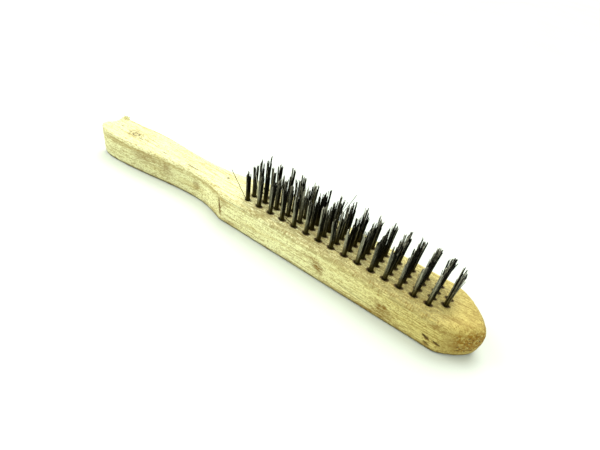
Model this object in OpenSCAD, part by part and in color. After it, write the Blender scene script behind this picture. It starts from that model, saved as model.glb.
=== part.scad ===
// Four-row wire hand brush: a one-piece wooden handle block, folded steel wire tufts, and the
// flat steel anchor that holds each tuft at the bottom of its blind bore.
//
// Frame: +X runs along the head to the nose, +Y to the side that the handle bends away from,
// +Z up out of the bristle face. The origin lies on the flat back of the block, under the
// middle of the tuft field.

/* [Wooden block] */
// Length from the end of the handle to the tip of the nose
overall_l = 290; // [284:1:296]
// Width of the head over the tuft field
head_w = 38; // [36:0.5:41]
// Thickness of the wood
block_t = 20; // [19:0.5:24]
// Width of the neck between handle and head
neck_w = 19.4; // [17:0.2:22]
// Widest part of the grip
grip_w = 28; // [25:0.5:31]
// How far the end of the handle bends sideways from the head's centre line
handle_bend = 9; // [5:0.5:12]
// Rounding along the upper edges
top_round = 3; // [1.5:0.25:4]
// Rounding along the edges of the flat back
back_round = 1.5; // [0.75:0.25:3]

/* [Tuft field] */
// Distance between tufts along the head
tuft_pitch = 9; // [8.6:0.1:9.2]
// Distance between the rows of tufts
row_pitch = 6.6; // [6:0.1:7]
// Diameter of each drilled bore
bore_d = 3.6; // [3.6:0.1:3.9]
// Depth of each bore down to the start of its drilled point
bore_depth = 12; // [11:0.5:14]

/* [Wire] */
// Length of wire that stands out of the wood
trim_l = 25; // [18:1:32]
// Diameter of one folded bundle of wires
bundle_d = 2.8; // [2.4:0.1:2.8]
// Diameter of one wire
wire_d = 0.35; // [0.25:0.05:0.35]
// Width of an anchor, which is wider than the bore so that its ends bite into the wood
anchor_w = 5; // [4.6:0.1:5.4]
// Height of an anchor
anchor_h = 2; // [1.4:0.1:2.4]
// Thickness of the flat wire that the anchors are cut from
anchor_t = 0.4; // [0.3:0.05:0.6]

/* [Hidden] */
$fn = 48;
RANKS = 16;                     // cross-ways ranks of tufts, counted from the handle
ROWS = 4;                       // rows along the head, counted from the -Y side
LAST = RANKS - 1;
fit_gap = 0.02;                 // clearance between an anchor and the slot that it cut
cut = 1;                        // how far a cutter reaches past the surface that it cuts

// Stations along the block
first_x = -(RANKS - 1) / 2 * tuft_pitch;
nose_x = 92.5;
tail_x = nose_x - overall_l;
grip_x = tail_x + 16;           // fullest point of the grip on the -Y side
swell_x = tail_x + 45;          // fullest point of the grip on the +Y side
neck_x = -104;
near_shoulder_x = -82;          // where the neck meets the straight side of the head
far_neck_x = -126;
far_shoulder_x = -68;
near_turn_x = 72;               // where each side starts to turn in towards the nose
far_turn_x = 66;

// Sideways positions: near is the -Y side, far the +Y side
near_head = -head_w / 2 + 0.6;
head_flare = 1.6;               // each side of the head stands this much wider at the nose
far_head = head_w / 2 + 0.4;
near_neck = -neck_w / 2 - 3.2;
far_neck = neck_w / 2 - 2.4;
near_grip = -handle_bend - grip_w / 2 + 1;
near_tail = near_grip + 7;
far_tail = -handle_bend + grip_w / 2 - 2;
far_grip = far_tail + 5.4;
tip_y = -4;                     // the nose is blunt and its tip lies off the centre line
near_power = 1.35;              // both sides of the nose are flatter than an ellipse,
far_power = 1.65;               // whose power would be 2

// How the nose is shaped over its height
nose_round = 5.5;               // rounding of the upper edge at the nose
nose_belly_z = 0.55 * block_t;  // height at which the nose reaches furthest forward
nose_undercut = 0.08;           // share of the nose's length that its foot falls back
nose_slope = 0.08;              // share that its upper edge falls back
nose_tip = 7;                   // length of the blunt tip

// The handle is a little narrower and shorter at the back than at the face, and its upper edge is
// sharper at the end
handle_lean = 1;
tail_undercut = 3;
tail_round = 1.2;               // rounding of the upper edge at the very end

// Hollow across the end of the handle
tail_hollow_r = 9.7;
tail_hollow_depth = 3.2;
tail_hollow_y = near_tail + 9;

// Depths in the bores
bore_floor_z = block_t - bore_depth;
drill_point_h = 1;
fold_z = bore_floor_z + 0.2;
anchor_z = fold_z + bundle_d / 2 - 0.2;
tip_d = bundle_d + 0.5;         // a tuft opens slightly towards its trimmed end
splay = 0.9;                    // how far the outermost tufts lean outwards at their tips
drift = [-0.9, -0.6];           // lean that use has given to every tuft
nose_rank_shift = -1;           // the two tufts at the nose stand closer to their neighbours

function ease(t) = t * t * (3 - 2 * t);
function share(x, a, b) = min(1, max(0, (x - a) / (b - a)));
function blend(x, a, b, ya, yb) = ya + (yb - ya) * ease(share(x, a, b));
function nose_fall(x, turn, power) = pow(max(0, 1 - pow(share(x, turn, nose_x), power)), 1 / power);

// Side of the block towards -Y at a station x
function near_tail_y(x) = near_tail + (near_grip - near_tail) * sqrt(1 - pow((grip_x - x) / (grip_x - tail_x), 2));
function near_side_y(x) =
    x < grip_x ? near_tail_y(x)
    : x < neck_x ? blend(x, grip_x, neck_x, near_grip, near_neck)
    : x < near_shoulder_x ? near_neck + (near_head - near_neck) * pow(share(x, neck_x, near_shoulder_x), 1.6)
    : near_head - head_flare * share(x, near_shoulder_x, near_turn_x);
function near_y(x) = tip_y + (near_side_y(x) - tip_y) * nose_fall(x, near_turn_x, near_power);

// Side of the block towards +Y at a station x
function far_side_y(x) =
    x < swell_x ? blend(x, tail_x, swell_x, far_tail, far_grip)
    : x < far_neck_x ? blend(x, swell_x, far_neck_x, far_grip, far_neck)
    : x < far_shoulder_x ? far_neck + (far_head - far_neck) * pow(share(x, far_neck_x, far_shoulder_x), 2.4)
    : far_head + head_flare * share(x, far_shoulder_x, far_turn_x);
function far_y(x) = tip_y + (far_side_y(x) - tip_y) * nose_fall(x, far_turn_x, far_power);

// Stations, closer together where the outline turns
STATIONS = [
    for (a = [0:15:75]) grip_x - (grip_x - tail_x) * cos(a),
    for (i = [0:19]) grip_x + (neck_x - grip_x) * i / 20,
    for (i = [0:7]) neck_x + (near_shoulder_x - neck_x) * i / 8,
    for (i = [0:5]) near_shoulder_x + (far_shoulder_x - near_shoulder_x) * i / 6,
    for (i = [0:4]) far_shoulder_x + (far_turn_x - far_shoulder_x) * i / 4,
    for (a = [12:6:84]) far_turn_x + (nose_x - far_turn_x) * sin(a)
];
COUNT = len(STATIONS);

// The outline runs along the -Y side to the nose and back along the +Y side
OUTLINE = [
    for (x = STATIONS) [x, near_y(x)],
    for (i = [COUNT - 1:-1:0]) [STATIONS[i], far_y(STATIONS[i])]
];
RING = len(OUTLINE);

function unit(v) = v / norm(v);
function along(j) = unit(OUTLINE[(j + 1) % RING] - OUTLINE[(j + RING - 1) % RING]);
function inward(j) = [-along(j)[1], along(j)[0]];

// Levels up the side of the block. Each is [rounding below, straight part, rounding above],
// where a rounding is the angle travelled around its quarter circle.
LEVELS = [
    for (a = [0:30:90]) [a, 0, 0],
    for (m = [1:3]) [90, m / 4, 0],
    for (a = [0:18:90]) [90, 1, a]
];

function edge_r(x) =
    x < swell_x ? blend(x, tail_x, swell_x, tail_round, top_round)
    : blend(x, far_turn_x - 10, nose_x - 6, top_round, nose_round);
function level_z(level, r) =
    back_round * (1 - cos(level[0]))
    + (block_t - back_round - r) * level[1]
    + r * sin(level[2]);
function level_inset(level, r) = back_round * (1 - sin(level[0])) + r * (1 - cos(level[2]));
function nose_tuck(z) =
    z < nose_belly_z
        ? nose_undercut * pow((nose_belly_z - z) / nose_belly_z, 1.5)
        : nose_slope * pow((z - nose_belly_z) / (block_t - nose_belly_z), 2);
function low(z) = 1 - z / block_t;
function tucked_x(x, z) =
    x > far_turn_x
        ? far_turn_x + (x - far_turn_x) * (1 - nose_tuck(z))
        : x + tail_undercut * low(z) * share(x, grip_x, tail_x);
function lean(x, z) = handle_lean * low(z) * ease(share(x, near_shoulder_x, far_neck_x));

// Outline point j moved in by an inset. The two ends keep their outline in proportion, because it
// turns more sharply there than the inset is wide.
function moved_at_tail(j, inset) =
    let (p = OUTLINE[j])
    [
        grip_x - (grip_x - p[0]) * (1 - inset / (grip_x - tail_x)),
        j < COUNT ? near_tail + (p[1] - near_tail) * (1 - inset / (near_tail - near_grip)) : p[1] - inset
    ];
function moved_at_nose(j, inset) =
    let (p = OUTLINE[j], sideways = 1 - ease(share(p[0], nose_x - nose_tip, nose_x)))
    [
        far_turn_x + (p[0] - far_turn_x) * (1 - inset / (nose_x - far_turn_x)),
        p[1] + inward(j)[1] * inset * sideways
    ];
function moved_in(j, inset) =
    OUTLINE[j][0] < grip_x ? moved_at_tail(j, inset)
    : OUTLINE[j][0] > far_turn_x ? moved_at_nose(j, inset)
    : OUTLINE[j] + inward(j) * inset;

function skin_point(j, level) =
    let (
        x = OUTLINE[j][0],
        r = edge_r(x),
        z = level_z(level, r),
        q = moved_in(j, level_inset(level, r) + lean(x, z))
    )
    [tucked_x(q[0], z), q[1], z];

// Closed skin of the block before anything is cut into it
module blank() {
    top = (len(LEVELS) - 1) * RING;
    points = [for (level = LEVELS) for (j = [0:RING - 1]) skin_point(j, level)];
    sides = [
        for (k = [0:len(LEVELS) - 2]) for (j = [0:RING - 1])
            let (a = k * RING + j, b = k * RING + (j + 1) % RING)
            each [[a, a + RING, b + RING], [a, b + RING, b]]
    ];
    back = [
        for (i = [0:COUNT - 2])
            let (a = RING - 1 - i)
            each [[i, i + 1, a - 1], [i, a - 1, a]]
    ];
    face = [
        for (i = [0:COUNT - 2])
            let (n = top + i, f = top + RING - 1 - i)
            each [[n, f, f - 1], [n, f - 1, n + 1]]
    ];
    polyhedron(points = points, faces = concat(sides, back, face), convexity = 6);
}

// Tufts of one rank: the last rank, at the nose, has only the two middle ones
function rows_of(rank) = rank == LAST ? [1, 2] : [0:ROWS - 1];
function tuft_x(rank) = first_x + rank * tuft_pitch + (rank == LAST ? nose_rank_shift : 0);
function tuft_y(row) = (row - (ROWS - 1) / 2) * row_pitch;

// Children stand on the floor of each bore of a rank
module at_tufts(rank) {
    for (row = rows_of(rank))
        translate([tuft_x(rank), tuft_y(row), 0])
            children();
}

// Blind bore with its drilled point
module bore_cutter() {
    translate([0, 0, bore_floor_z])
        cylinder(d = bore_d, h = bore_depth + cut);
    translate([0, 0, bore_floor_z - drill_point_h])
        cylinder(d1 = 0.4, d2 = bore_d, h = drill_point_h);
}

// Slit that an anchor cuts in the wood on its way down the bore
module anchor_slit() {
    w = anchor_w + 2 * fit_gap;
    t = anchor_t + 2 * fit_gap;
    translate([-w / 2, -t / 2, anchor_z - fit_gap])
        cube([w, t, block_t - anchor_z + cut]);
}

module tail_hollow() {
    translate([tail_x - tail_hollow_r + tail_hollow_depth, tail_hollow_y, -cut])
        cylinder(r = tail_hollow_r, h = block_t + 2 * cut);
}

module handle_block() {
    color("#e9deb0")
        difference() {
            blank();
            tail_hollow();
            for (rank = [0:LAST])
                at_tufts(rank) {
                    bore_cutter();
                    anchor_slit();
                }
        }
}

// Flat steel anchor with its lower corners cropped
module anchor() {
    crop = 0.5;
    translate([0, anchor_t / 2, anchor_z])
        rotate([90, 0, 0])
            linear_extrude(height = anchor_t)
                polygon([
                    [-anchor_w / 2 + crop, 0], [anchor_w / 2 - crop, 0],
                    [anchor_w / 2, crop], [anchor_w / 2, anchor_h],
                    [-anchor_w / 2, anchor_h], [-anchor_w / 2, crop]
                ]);
}

module anchor_rank(rank) {
    color("#8c8f92")
        at_tufts(rank) anchor();
}

// Lower half of a tuft: two legs joined by the fold under the anchor
module folded_legs() {
    window_t = anchor_t + 2 * fit_gap;
    difference() {
        intersection() {
            translate([0, 0, fold_z])
                cylinder(d = bundle_d, h = block_t - fold_z);
            union() {
                translate([-bundle_d, 0, fold_z + bundle_d / 2])
                    rotate([0, 90, 0])
                        cylinder(d = bundle_d, h = 2 * bundle_d);
                translate([-bundle_d, -bundle_d, fold_z + bundle_d / 2])
                    cube([2 * bundle_d, 2 * bundle_d, block_t]);
            }
        }
        translate([-bundle_d, -window_t / 2, anchor_z - fit_gap])
            cube([2 * bundle_d, window_t, anchor_h + 4 * fit_gap]);
    }
}

// How far the trimmed end of a tuft stands off the axis of its bore
function tuft_lean(rank, row) =
    drift + splay * [2 * rank / LAST - 1, 0.3 * (2 * row / (ROWS - 1) - 1)];

// Free part of a tuft, which leans over its length by the vector lean
module free_bundle(lean) {
    translate([0, 0, block_t])
        multmatrix([
            [1, 0, lean[0] / trim_l, 0],
            [0, 1, lean[1] / trim_l, 0],
            [0, 0, 1, 0]
        ])
            cylinder(d1 = bundle_d, d2 = tip_d, h = trim_l);
}

module tuft(rank, row) {
    folded_legs();
    free_bundle(tuft_lean(rank, row));
}

// Wires that were knocked out of their tufts in use. Each is [rank, row, side, bend, tip]: it
// rises in the gap around its tuft, on the side given as an angle, and then bends away to its
// tip. Bend and tip are measured from the middle of the mouth of the bore.
STRAYS = [
    [0, 0, 180, [-1.6, 0, -0.1], [-15.6, -0.1, 14.8]],
    [6, 3, 50, [1.2, 1.4, 8], [5.2, 6.1, 24.1]],
    [4, 0, 165, [-1.55, 0.4, 0.3], [-8, 1.6, 1.4]]
];
stray_foot = 5;                 // how deep in the bore a stray wire starts
stray_r = (bore_d + bundle_d) / 4;
STRAY_SIDES = 8;
BEND_STEPS = 4;

// Route of a stray wire: straight, a short round bend, and straight again to the tip
function quadratic(a, b, c, t) = (1 - t) * (1 - t) * a + 2 * t * (1 - t) * b + t * t * c;
function stray_route(side, bend, tip) =
    let (
        foot = [stray_r * cos(side), stray_r * sin(side), -stray_foot],
        into = bend - 0.8 * unit(bend - foot),
        out = bend + 0.8 * unit(tip - bend)
    )
    concat([foot], [for (i = [0:BEND_STEPS]) quadratic(into, bend, out, i / BEND_STEPS)], [tip]);

// Direction of a route at its point i
function heading(route, i) = unit(route[min(i + 1, len(route) - 1)] - route[max(i - 1, 0)]);

// Round tube of diameter d swept along a route
module stray(route, d) {
    last = len(route) - 1;
    rings = [
        for (i = [0:last])
            let (u = unit(cross([0, 1, 0], heading(route, i))), v = cross(heading(route, i), u))
            for (s = [0:STRAY_SIDES - 1])
                let (a = 360 * s / STRAY_SIDES)
                route[i] + d / 2 * (cos(a) * u + sin(a) * v)
    ];
    walls = [
        for (i = [0:last - 1]) for (s = [0:STRAY_SIDES - 1])
            let (a = i * STRAY_SIDES + s, b = i * STRAY_SIDES + (s + 1) % STRAY_SIDES)
            each [[a, a + STRAY_SIDES, b + STRAY_SIDES], [a, b + STRAY_SIDES, b]]
    ];
    foot = [for (s = [0:STRAY_SIDES - 1]) s];
    tip = [for (s = [STRAY_SIDES - 1:-1:0]) last * STRAY_SIDES + s];
    polyhedron(points = rings, faces = concat(walls, [foot, tip]));
}

module stray_wires() {
    color("#5b5c58")
        for (s = STRAYS)
            translate([tuft_x(s[0]), tuft_y(s[1]), block_t])
                stray(stray_route(s[2], s[3], s[4]), wire_d);
}

module tuft_rank(rank) {
    color("#3b3c38")
        for (row = rows_of(rank))
            translate([tuft_x(rank), tuft_y(row), 0])
                tuft(rank, row);
}

function rank_name(kind, rank) = str(kind, "_rank_", rank < 9 ? "0" : "", rank + 1);

handle_block();
stray_wires();
for (rank = [0:LAST]) {
    tuft_rank(rank);
    anchor_rank(rank);
}
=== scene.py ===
"""Wooden-handled wire scratch brush: one block of raw hardwood with ranks of folded steel wire."""

import logging
import math
import random
from collections.abc import Callable
from dataclasses import dataclass, field
from enum import Enum

import bmesh
import bpy
from mathutils import Matrix, Vector, noise


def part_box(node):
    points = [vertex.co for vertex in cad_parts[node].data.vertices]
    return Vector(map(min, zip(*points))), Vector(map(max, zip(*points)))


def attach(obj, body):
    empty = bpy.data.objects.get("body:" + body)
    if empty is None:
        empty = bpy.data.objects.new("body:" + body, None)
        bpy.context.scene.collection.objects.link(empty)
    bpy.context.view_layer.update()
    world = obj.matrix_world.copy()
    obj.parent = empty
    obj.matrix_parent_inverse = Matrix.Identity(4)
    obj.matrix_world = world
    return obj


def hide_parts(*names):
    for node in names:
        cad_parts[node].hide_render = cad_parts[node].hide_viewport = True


LOG = logging.getLogger("wire_brush")
MM = 0.001
BODY = "root"
Socket = bpy.types.NodeSocket
FaceTest = Callable[[bmesh.types.BMFace], bool]
Triple = tuple[float, float, float]
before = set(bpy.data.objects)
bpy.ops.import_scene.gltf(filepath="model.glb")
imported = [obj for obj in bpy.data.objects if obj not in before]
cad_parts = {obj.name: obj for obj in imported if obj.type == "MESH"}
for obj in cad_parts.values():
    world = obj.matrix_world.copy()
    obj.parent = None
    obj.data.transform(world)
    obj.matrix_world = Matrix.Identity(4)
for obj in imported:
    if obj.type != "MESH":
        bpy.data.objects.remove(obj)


def linear(hex_colour: str) -> tuple[float, float, float, float]:
    """Turn an sRGB colour into Blender's linear one.

    Args:
        hex_colour: Six hex digits, with or without a leading "#".

    Returns:
        Linear red, green and blue with an alpha of 1.
    """
    digits = hex_colour.lstrip("#")
    parts = [int(digits[i : i + 2], 16) / 255 for i in (0, 2, 4)]
    red, green, blue = (c / 12.92 if c <= 0.04045 else ((c + 0.055) / 1.055) ** 2.4 for c in parts)
    return red, green, blue, 1.0


def add_node(tree: bpy.types.NodeTree, kind: str, settings: dict, links: dict) -> bpy.types.Node:
    """Add one node with its settings and links.

    Args:
        tree: Node tree to add to.
        kind: Node type, such as "ShaderNodeMath".
        settings: Attribute names, or input names or numbers after "in:", with their values.
        links: Input names or numbers with the output socket that feeds each.

    Returns:
        The new node.
    """
    node = tree.nodes.new(kind)
    for name in sorted(settings, key=lambda name: name.startswith("in:")):
        if name.startswith("in:"):
            key = name[3:]
            node.inputs[int(key) if key.isdigit() else key].default_value = settings[name]
        else:
            setattr(node, name, settings[name])
    for name, socket in links.items():
        tree.links.new(socket, node.inputs[name])
    return node


class Face(Enum):
    """Faces of the block that a groove may be cut in, by their outward direction."""

    TOP = (0.0, 0.0, 1.0)
    NEAR_SIDE = (0.0, -1.0, 0.0)


class Stain(Enum):
    """What a mark on the wood is made of. The split kind also serves as painted shade: inside the grooves,
    along a crease and round bore mouths.
    """

    BURN = "burn"
    SPLIT_AND_SHADE = "split_and_shade"


@dataclass(frozen=True)
class Mark:
    """A soft-edged mark on the wood, as an ellipsoid.

    Attributes:
        centre: Middle of the mark, mm.
        half: Half sizes along X, Y and Z before it is turned, mm.
        turn: Turn about Y, degrees, for marks that cross the grain.
        stain: What the mark is made of.
        depth: How strongly it shows, 0 to 1.
    """

    centre: Triple
    half: Triple
    turn: float = 0.0
    stain: Stain = Stain.BURN
    depth: float = 1.0


@dataclass(frozen=True)
class Groove:
    """A split or gouge that is open at the surface, painted dark inside, partly as painted shade of the
    groove.

    Attributes:
        face: Face that it is cut in.
        start: One end, mm.
        end: Other end, mm.
        width: Width at the surface, mm.
        depth: Depth at its middle, mm.
        shade: How dark it is painted inside, partly as painted shade of the groove, 0 to 1.
    """

    face: Face
    start: Triple
    end: Triple
    width: float
    depth: float
    shade: float = 1.0

    def mark(self) -> Mark:
        """Return the dark line painted inside the groove, partly as painted shade."""
        a, b = Vector(self.start), Vector(self.end)
        run = b - a
        half = (run.length / 2, 3.0, self.width * 0.5)
        if self.face is Face.TOP:
            half = (run.length / 2, self.width * 0.45, 1.2)
        turn = -math.degrees(math.atan2(run.z, run.x)) if self.face is Face.NEAR_SIDE else 0.0
        return Mark(tuple((a + b) / 2), half, turn, Stain.SPLIT_AND_SHADE, self.shade)


class Recipe:
    """A material in the making: its node tree with the nodes that every finish shares."""

    def __init__(self, name: str) -> None:
        """Start an empty material that is laid out in the piece's own millimetres.

        Args:
            name: Name of the material.
        """
        self.material = bpy.data.materials.new(name)
        self.material.use_nodes = True
        self.tree = self.material.node_tree
        self.tree.nodes.clear()
        place = self.node("ShaderNodeTexCoord", {}, {}, "Object")
        self.mm = self.node("ShaderNodeVectorMath", {"operation": "SCALE", "in:Scale": 1 / MM}, {0: place})
        self.x, self.y, self.z = add_node(self.tree, "ShaderNodeSeparateXYZ", {}, {0: self.mm}).outputs

    def node(self, kind: str, settings: dict, links: dict, output: int | str = 0) -> Socket:
        """Add a node to the tree and return one of its outputs.

        Args:
            kind: Node type.
            settings: Its settings, as add_node takes them.
            links: Its links, as add_node takes them.
            output: Name or number of the output.

        Returns:
            Socket of that output.
        """
        return add_node(self.tree, kind, settings, links).outputs[output]

    def noise(self, size: Triple, detail: float = 3.0, rough: float = 0.55) -> Socket:
        """Add noise that is stretched along the axes.

        Args:
            size: Size of one feature along X, Y and Z, mm.
            detail: Levels of detail.
            rough: Weight of the finer levels.

        Returns:
            Socket of the noise, about 0.3 to 0.7.
        """
        scale = tuple(1 / side for side in size)
        turned = self.node("ShaderNodeMapping", {"in:Scale": scale}, {"Vector": self.mm})
        settings = {"in:Scale": 1.0, "in:Detail": detail, "in:Roughness": rough}
        return self.node("ShaderNodeTexNoise", settings, {"Vector": turned})

    def calc(
        self, operation: str, first: Socket, second: Socket | float, third: Socket | float = 0.0
    ) -> Socket:
        """Do arithmetic on sockets.

        Args:
            operation: Name of the operation, such as "MULTIPLY".
            first: First value.
            second: Second value, a socket or a number.
            third: Third value, where the operation takes one.

        Returns:
            Socket of the result.
        """
        settings, links = {"operation": operation}, {0: first}
        for index, value in ((1, second), (2, third)):
            if isinstance(value, float):
                settings[f"in:{index}"] = value
            else:
                links[index] = value
        return self.node("ShaderNodeMath", settings, links)

    def product(self, *values: Socket) -> Socket:
        """Return the product of two or more sockets."""
        total = values[0]
        for value in values[1:]:
            total = self.calc("MULTIPLY", total, value)
        return total

    def rise(self, value: Socket, low: float, high: float, top: float = 1.0) -> Socket:
        """Map a value smoothly from 0 at one level to a chosen height at another.

        Args:
            value: The value.
            low: Level that gives 0.
            high: Level that gives the full height.
            top: Full height.

        Returns:
            Socket of the result.
        """
        settings = {"in:From Min": low, "in:From Max": high, "in:To Max": top}
        settings["interpolation_type"] = "SMOOTHSTEP"
        return self.node("ShaderNodeMapRange", settings, {"Value": value})

    def level(self, value: Socket, middle: float, swing: float) -> Socket:
        """Map noise evenly to a band round a middle value.

        Args:
            value: Socket of the noise.
            middle: Middle of the band.
            swing: Half width of the band.

        Returns:
            Socket of the result.
        """
        settings = {"in:From Min": 0.3, "in:From Max": 0.7}
        settings |= {"in:To Min": middle - swing, "in:To Max": middle + swing}
        return self.node("ShaderNodeMapRange", settings, {"Value": value})

    def mix(self, factor: Socket | float, first: Socket, second: Socket | str, mode: str = "MIX") -> Socket:
        """Mix two colours.

        Args:
            factor: Share of the second colour.
            first: First colour.
            second: Second colour, a socket or hex digits.
            mode: Blend mode.

        Returns:
            Socket of the mixed colour.
        """
        settings, links = {"data_type": "RGBA", "blend_type": mode, "clamp_factor": True}, {6: first}
        if isinstance(factor, float):
            settings["in:0"] = factor
        else:
            links[0] = factor
        if isinstance(second, str):
            settings["in:7"] = linear(second)
        else:
            links[7] = second
        return add_node(self.tree, "ShaderNodeMix", settings, links).outputs[2]

    def ramp(self, value: Socket, *stops: tuple[float, str]) -> Socket:
        """Turn a value into a colour by stops.

        Args:
            value: The value.
            stops: Positions with their hex colours.

        Returns:
            Socket of the colour.
        """
        made = add_node(self.tree, "ShaderNodeValToRGB", {}, {0: value})
        elements = made.color_ramp.elements
        while len(elements) > 1:
            elements.remove(elements[-1])
        elements[0].position, elements[0].color = stops[0][0], linear(stops[0][1])
        for place, colour in stops[1:]:
            elements.new(place).color = linear(colour)
        return made.outputs[0]

    def length(self, vector: Socket) -> Socket:
        """Return the length of a vector."""
        return self.node("ShaderNodeVectorMath", {"operation": "LENGTH"}, {0: vector}, "Value")

    def inside(self, vector: Socket, centre: Triple, half: Triple, turn: float = 0.0) -> Socket:
        """Measure how far points lie from the middle of an ellipsoid.

        Args:
            vector: Position, mm.
            centre: Middle of the ellipsoid, mm.
            half: Its half sizes, mm.
            turn: Its turn about Y, degrees.

        Returns:
            Socket of the distance, 1 at the surface of the ellipsoid.
        """
        settings = {"in:Location": centre, "in:Rotation": (0.0, math.radians(turn), 0.0), "in:Scale": half}
        settings["vector_type"] = "TEXTURE"
        return self.length(self.node("ShaderNodeMapping", settings, {"Vector": vector}))

    def relief(self, height: Socket, strength: float, depth: float) -> Socket:
        """Return the normal of a fine relief.

        Args:
            height: Height of the relief, about 0 to 1.
            strength: How strongly it shows.
            depth: Its depth, mm.

        Returns:
            Socket of the normal.
        """
        settings = {"in:Strength": strength, "in:Distance": depth * MM}
        return self.node("ShaderNodeBump", settings, {"Height": height})

    def finish(self, settings: dict, links: dict) -> bpy.types.Material:
        """Close the material with its shader.

        Args:
            settings: Constants of the shader, as add_node takes them.
            links: Sockets that feed it.

        Returns:
            The material.
        """
        shader = self.node("ShaderNodeBsdfPrincipled", settings, links)
        add_node(self.tree, "ShaderNodeOutputMaterial", {}, {"Surface": shader})
        return self.material


@dataclass(frozen=True)
class RawBeech:
    """Unfinished beech, planed and belt-sanded: pale, dry and matt, with fine flecks along the grain,
    scorched patches from the cutter, and open end grain at the nose that has taken up dirt. Some of its
    colour is painted light and shade: shade below the crease, along the foot, among the tufts and round
    the bores, and a fall-off of the light towards the nose."""

    name: str = "raw_beech_sanded"
    light: str = "F5F5BD"
    mid: str = "DED596"
    dark: str = "9C8340"
    khaki: str = "9E9158"
    scorch: str = "7F5C14"
    split_and_shade: str = "402907"
    end_grain: str = "8C660A"
    fleck_mm: float = 0.55
    fleck_run_mm: float = 4.0
    figure_mm: float = 5.0
    roughness: float = 0.72

    def build(self, marks: list[Mark], rows: tuple[Vector, Vector], pitch: Vector) -> bpy.types.Material:
        """Make the material.

        Args:
            marks: Burns and splits on the wood, some of them painted shade.
            rows: Lowest and highest corner of the bore mouths, mm.
            pitch: Distance between ranks and between rows, with the height of the face, mm.

        Returns:
            The material.
        """
        wood = Recipe(self.name)
        colour = self.toned(wood, self.grain(wood))
        colour = self.face_wear_and_shade(wood, colour, rows, pitch)
        colour = self.nose_end_grain(wood, colour)
        colour = self.knot(wood, colour)
        colour = self.lower_edge(wood, colour)
        colour = self.crease(wood, colour)
        colour = self.stained(wood, colour, marks)
        fuzz = wood.calc("MULTIPLY", wood.noise((1.2, 1.0, 1.0), 3.0, 0.6), 0.4)
        height = wood.calc("MULTIPLY_ADD", wood.noise((6.0, 0.4, 0.4), 3.0, 0.6), 0.6, fuzz)
        return wood.finish(
            {"in:Specular IOR Level": 0.3, "in:IOR": 1.5},
            {
                "Base Color": colour,
                "Roughness": wood.level(height, self.roughness, 0.1),
                "Normal": wood.relief(height, 0.55, 0.25),
            },
        )

    def grain(self, wood: Recipe) -> Socket:
        """Add the plain grain, which is growth figure with fine flecks, pores and rays along X.

        Args:
            wood: The material.

        Returns:
            Socket of the colour.
        """
        figure = wood.noise((60.0, self.figure_mm, self.figure_mm * 0.8), 4.0, 0.6)
        base = wood.ramp(figure, (0.30, self.mid), (0.5, self.light), (0.72, self.mid))
        flecks = wood.noise((self.fleck_run_mm, self.fleck_mm, self.fleck_mm), 3.0, 0.7)
        colour = wood.mix(wood.rise(flecks, 0.50, 0.66, 0.75), base, self.dark)
        colour = wood.mix(wood.rise(flecks, 0.46, 0.34, 0.9), colour, self.light)
        pores = wood.rise(wood.noise((1.1, 0.8, 0.8), 1.0), 0.53, 0.64, 0.5)
        rays = wood.rise(wood.noise((30.0, 1.6, 0.55), 2.0, 0.6), 0.57, 0.65, 0.6)
        patches = wood.rise(wood.noise((14.0, 6.0, 5.0), 4.0, 0.65), 0.56, 0.74, 0.4)
        for shade in (pores, rays, patches):
            colour = wood.mix(shade, colour, self.dark)
        return colour

    def toned(self, wood: Recipe, colour: Socket) -> Socket:
        """Darken the wood where hands have held it, and darken and brown it steadily towards the nose,
        partly as a painted fall-off of the light.

        Args:
            wood: The material.
            colour: Colour so far.

        Returns:
            Socket of the colour.
        """
        back, reach = -200.0, 300.0
        span = {"in:From Min": back, "in:From Max": back + reach}
        along = wood.node("ShaderNodeMapRange", span, {"Value": wood.x})
        held, clean = ((-120.0, "F3F3F3"), (-95.0, "FFFFFF")), ((-30.0, "FFFFFF"), (12.0, "F7F3E4"))
        # painted light: the darkening towards the nose partly stands in for the light falling off there
        darker_to_nose = ((50.0, "EADFBC"), (80.0, "DCCB98"))
        hues = wood.ramp(along, *(((x - back) / reach, hue) for x, hue in held + clean + darker_to_nose))
        return wood.mix(1.0, colour, hues, "MULTIPLY")

    def face_wear_and_shade(self, wood: Recipe, colour: Socket, rows: tuple[Vector, Vector], pitch: Vector) -> Socket:
        """Grey the face between the tufts with khaki mottling, partly wear and partly painted shade among
        the tufts, with cross-ways sanding marks and a ring of painted shade round each bore.

        Args:
            wood: The material.
            colour: Colour so far.
            rows: Lowest and highest corner of the bore mouths, mm.
            pitch: Distance between ranks and between rows, with the height of the face, mm.

        Returns:
            Socket of the colour.
        """
        low, high = rows
        # region of the tuft field, which takes both wear and painted shade
        worn = wood.product(
            wood.rise(wood.x, low.x - 8, low.x + 10),
            wood.rise(wood.x, high.x + 9, high.x - 2),
            wood.rise(wood.y, high.y + 6, high.y - 1),
            wood.rise(wood.z, pitch.z - 4.5, pitch.z - 1.5),
        )
        # painted shade among the tufts: the khaki mottling darkens the face where the tufts shade it, on
        # top of its wear
        mottle = wood.rise(wood.noise((5.0, 1.2, 3.0), 3.0, 0.65), 0.34, 0.60, 0.8)
        across = wood.rise(wood.noise((0.7, 2.4, 4.0), 2.0, 0.5), 0.53, 0.64, 0.5)
        grey = wood.mix(wood.product(worn, mottle), colour, self.khaki)
        marked = wood.mix(wood.product(worn, across), grey, self.scorch)
        cell = wood.node("ShaderNodeCombineXYZ", {}, {
            0: self.folded(wood, wood.x, low.x, pitch.x, 3.0),
            1: self.folded(wood, wood.y, low.y, pitch.y, 2.15),
        })
        among_rows = wood.product(
            wood.rise(wood.x, high.x - 3.4, high.x - 3.6), wood.rise(wood.y, low.y - 3.2, low.y - 3.0)
        )
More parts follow.
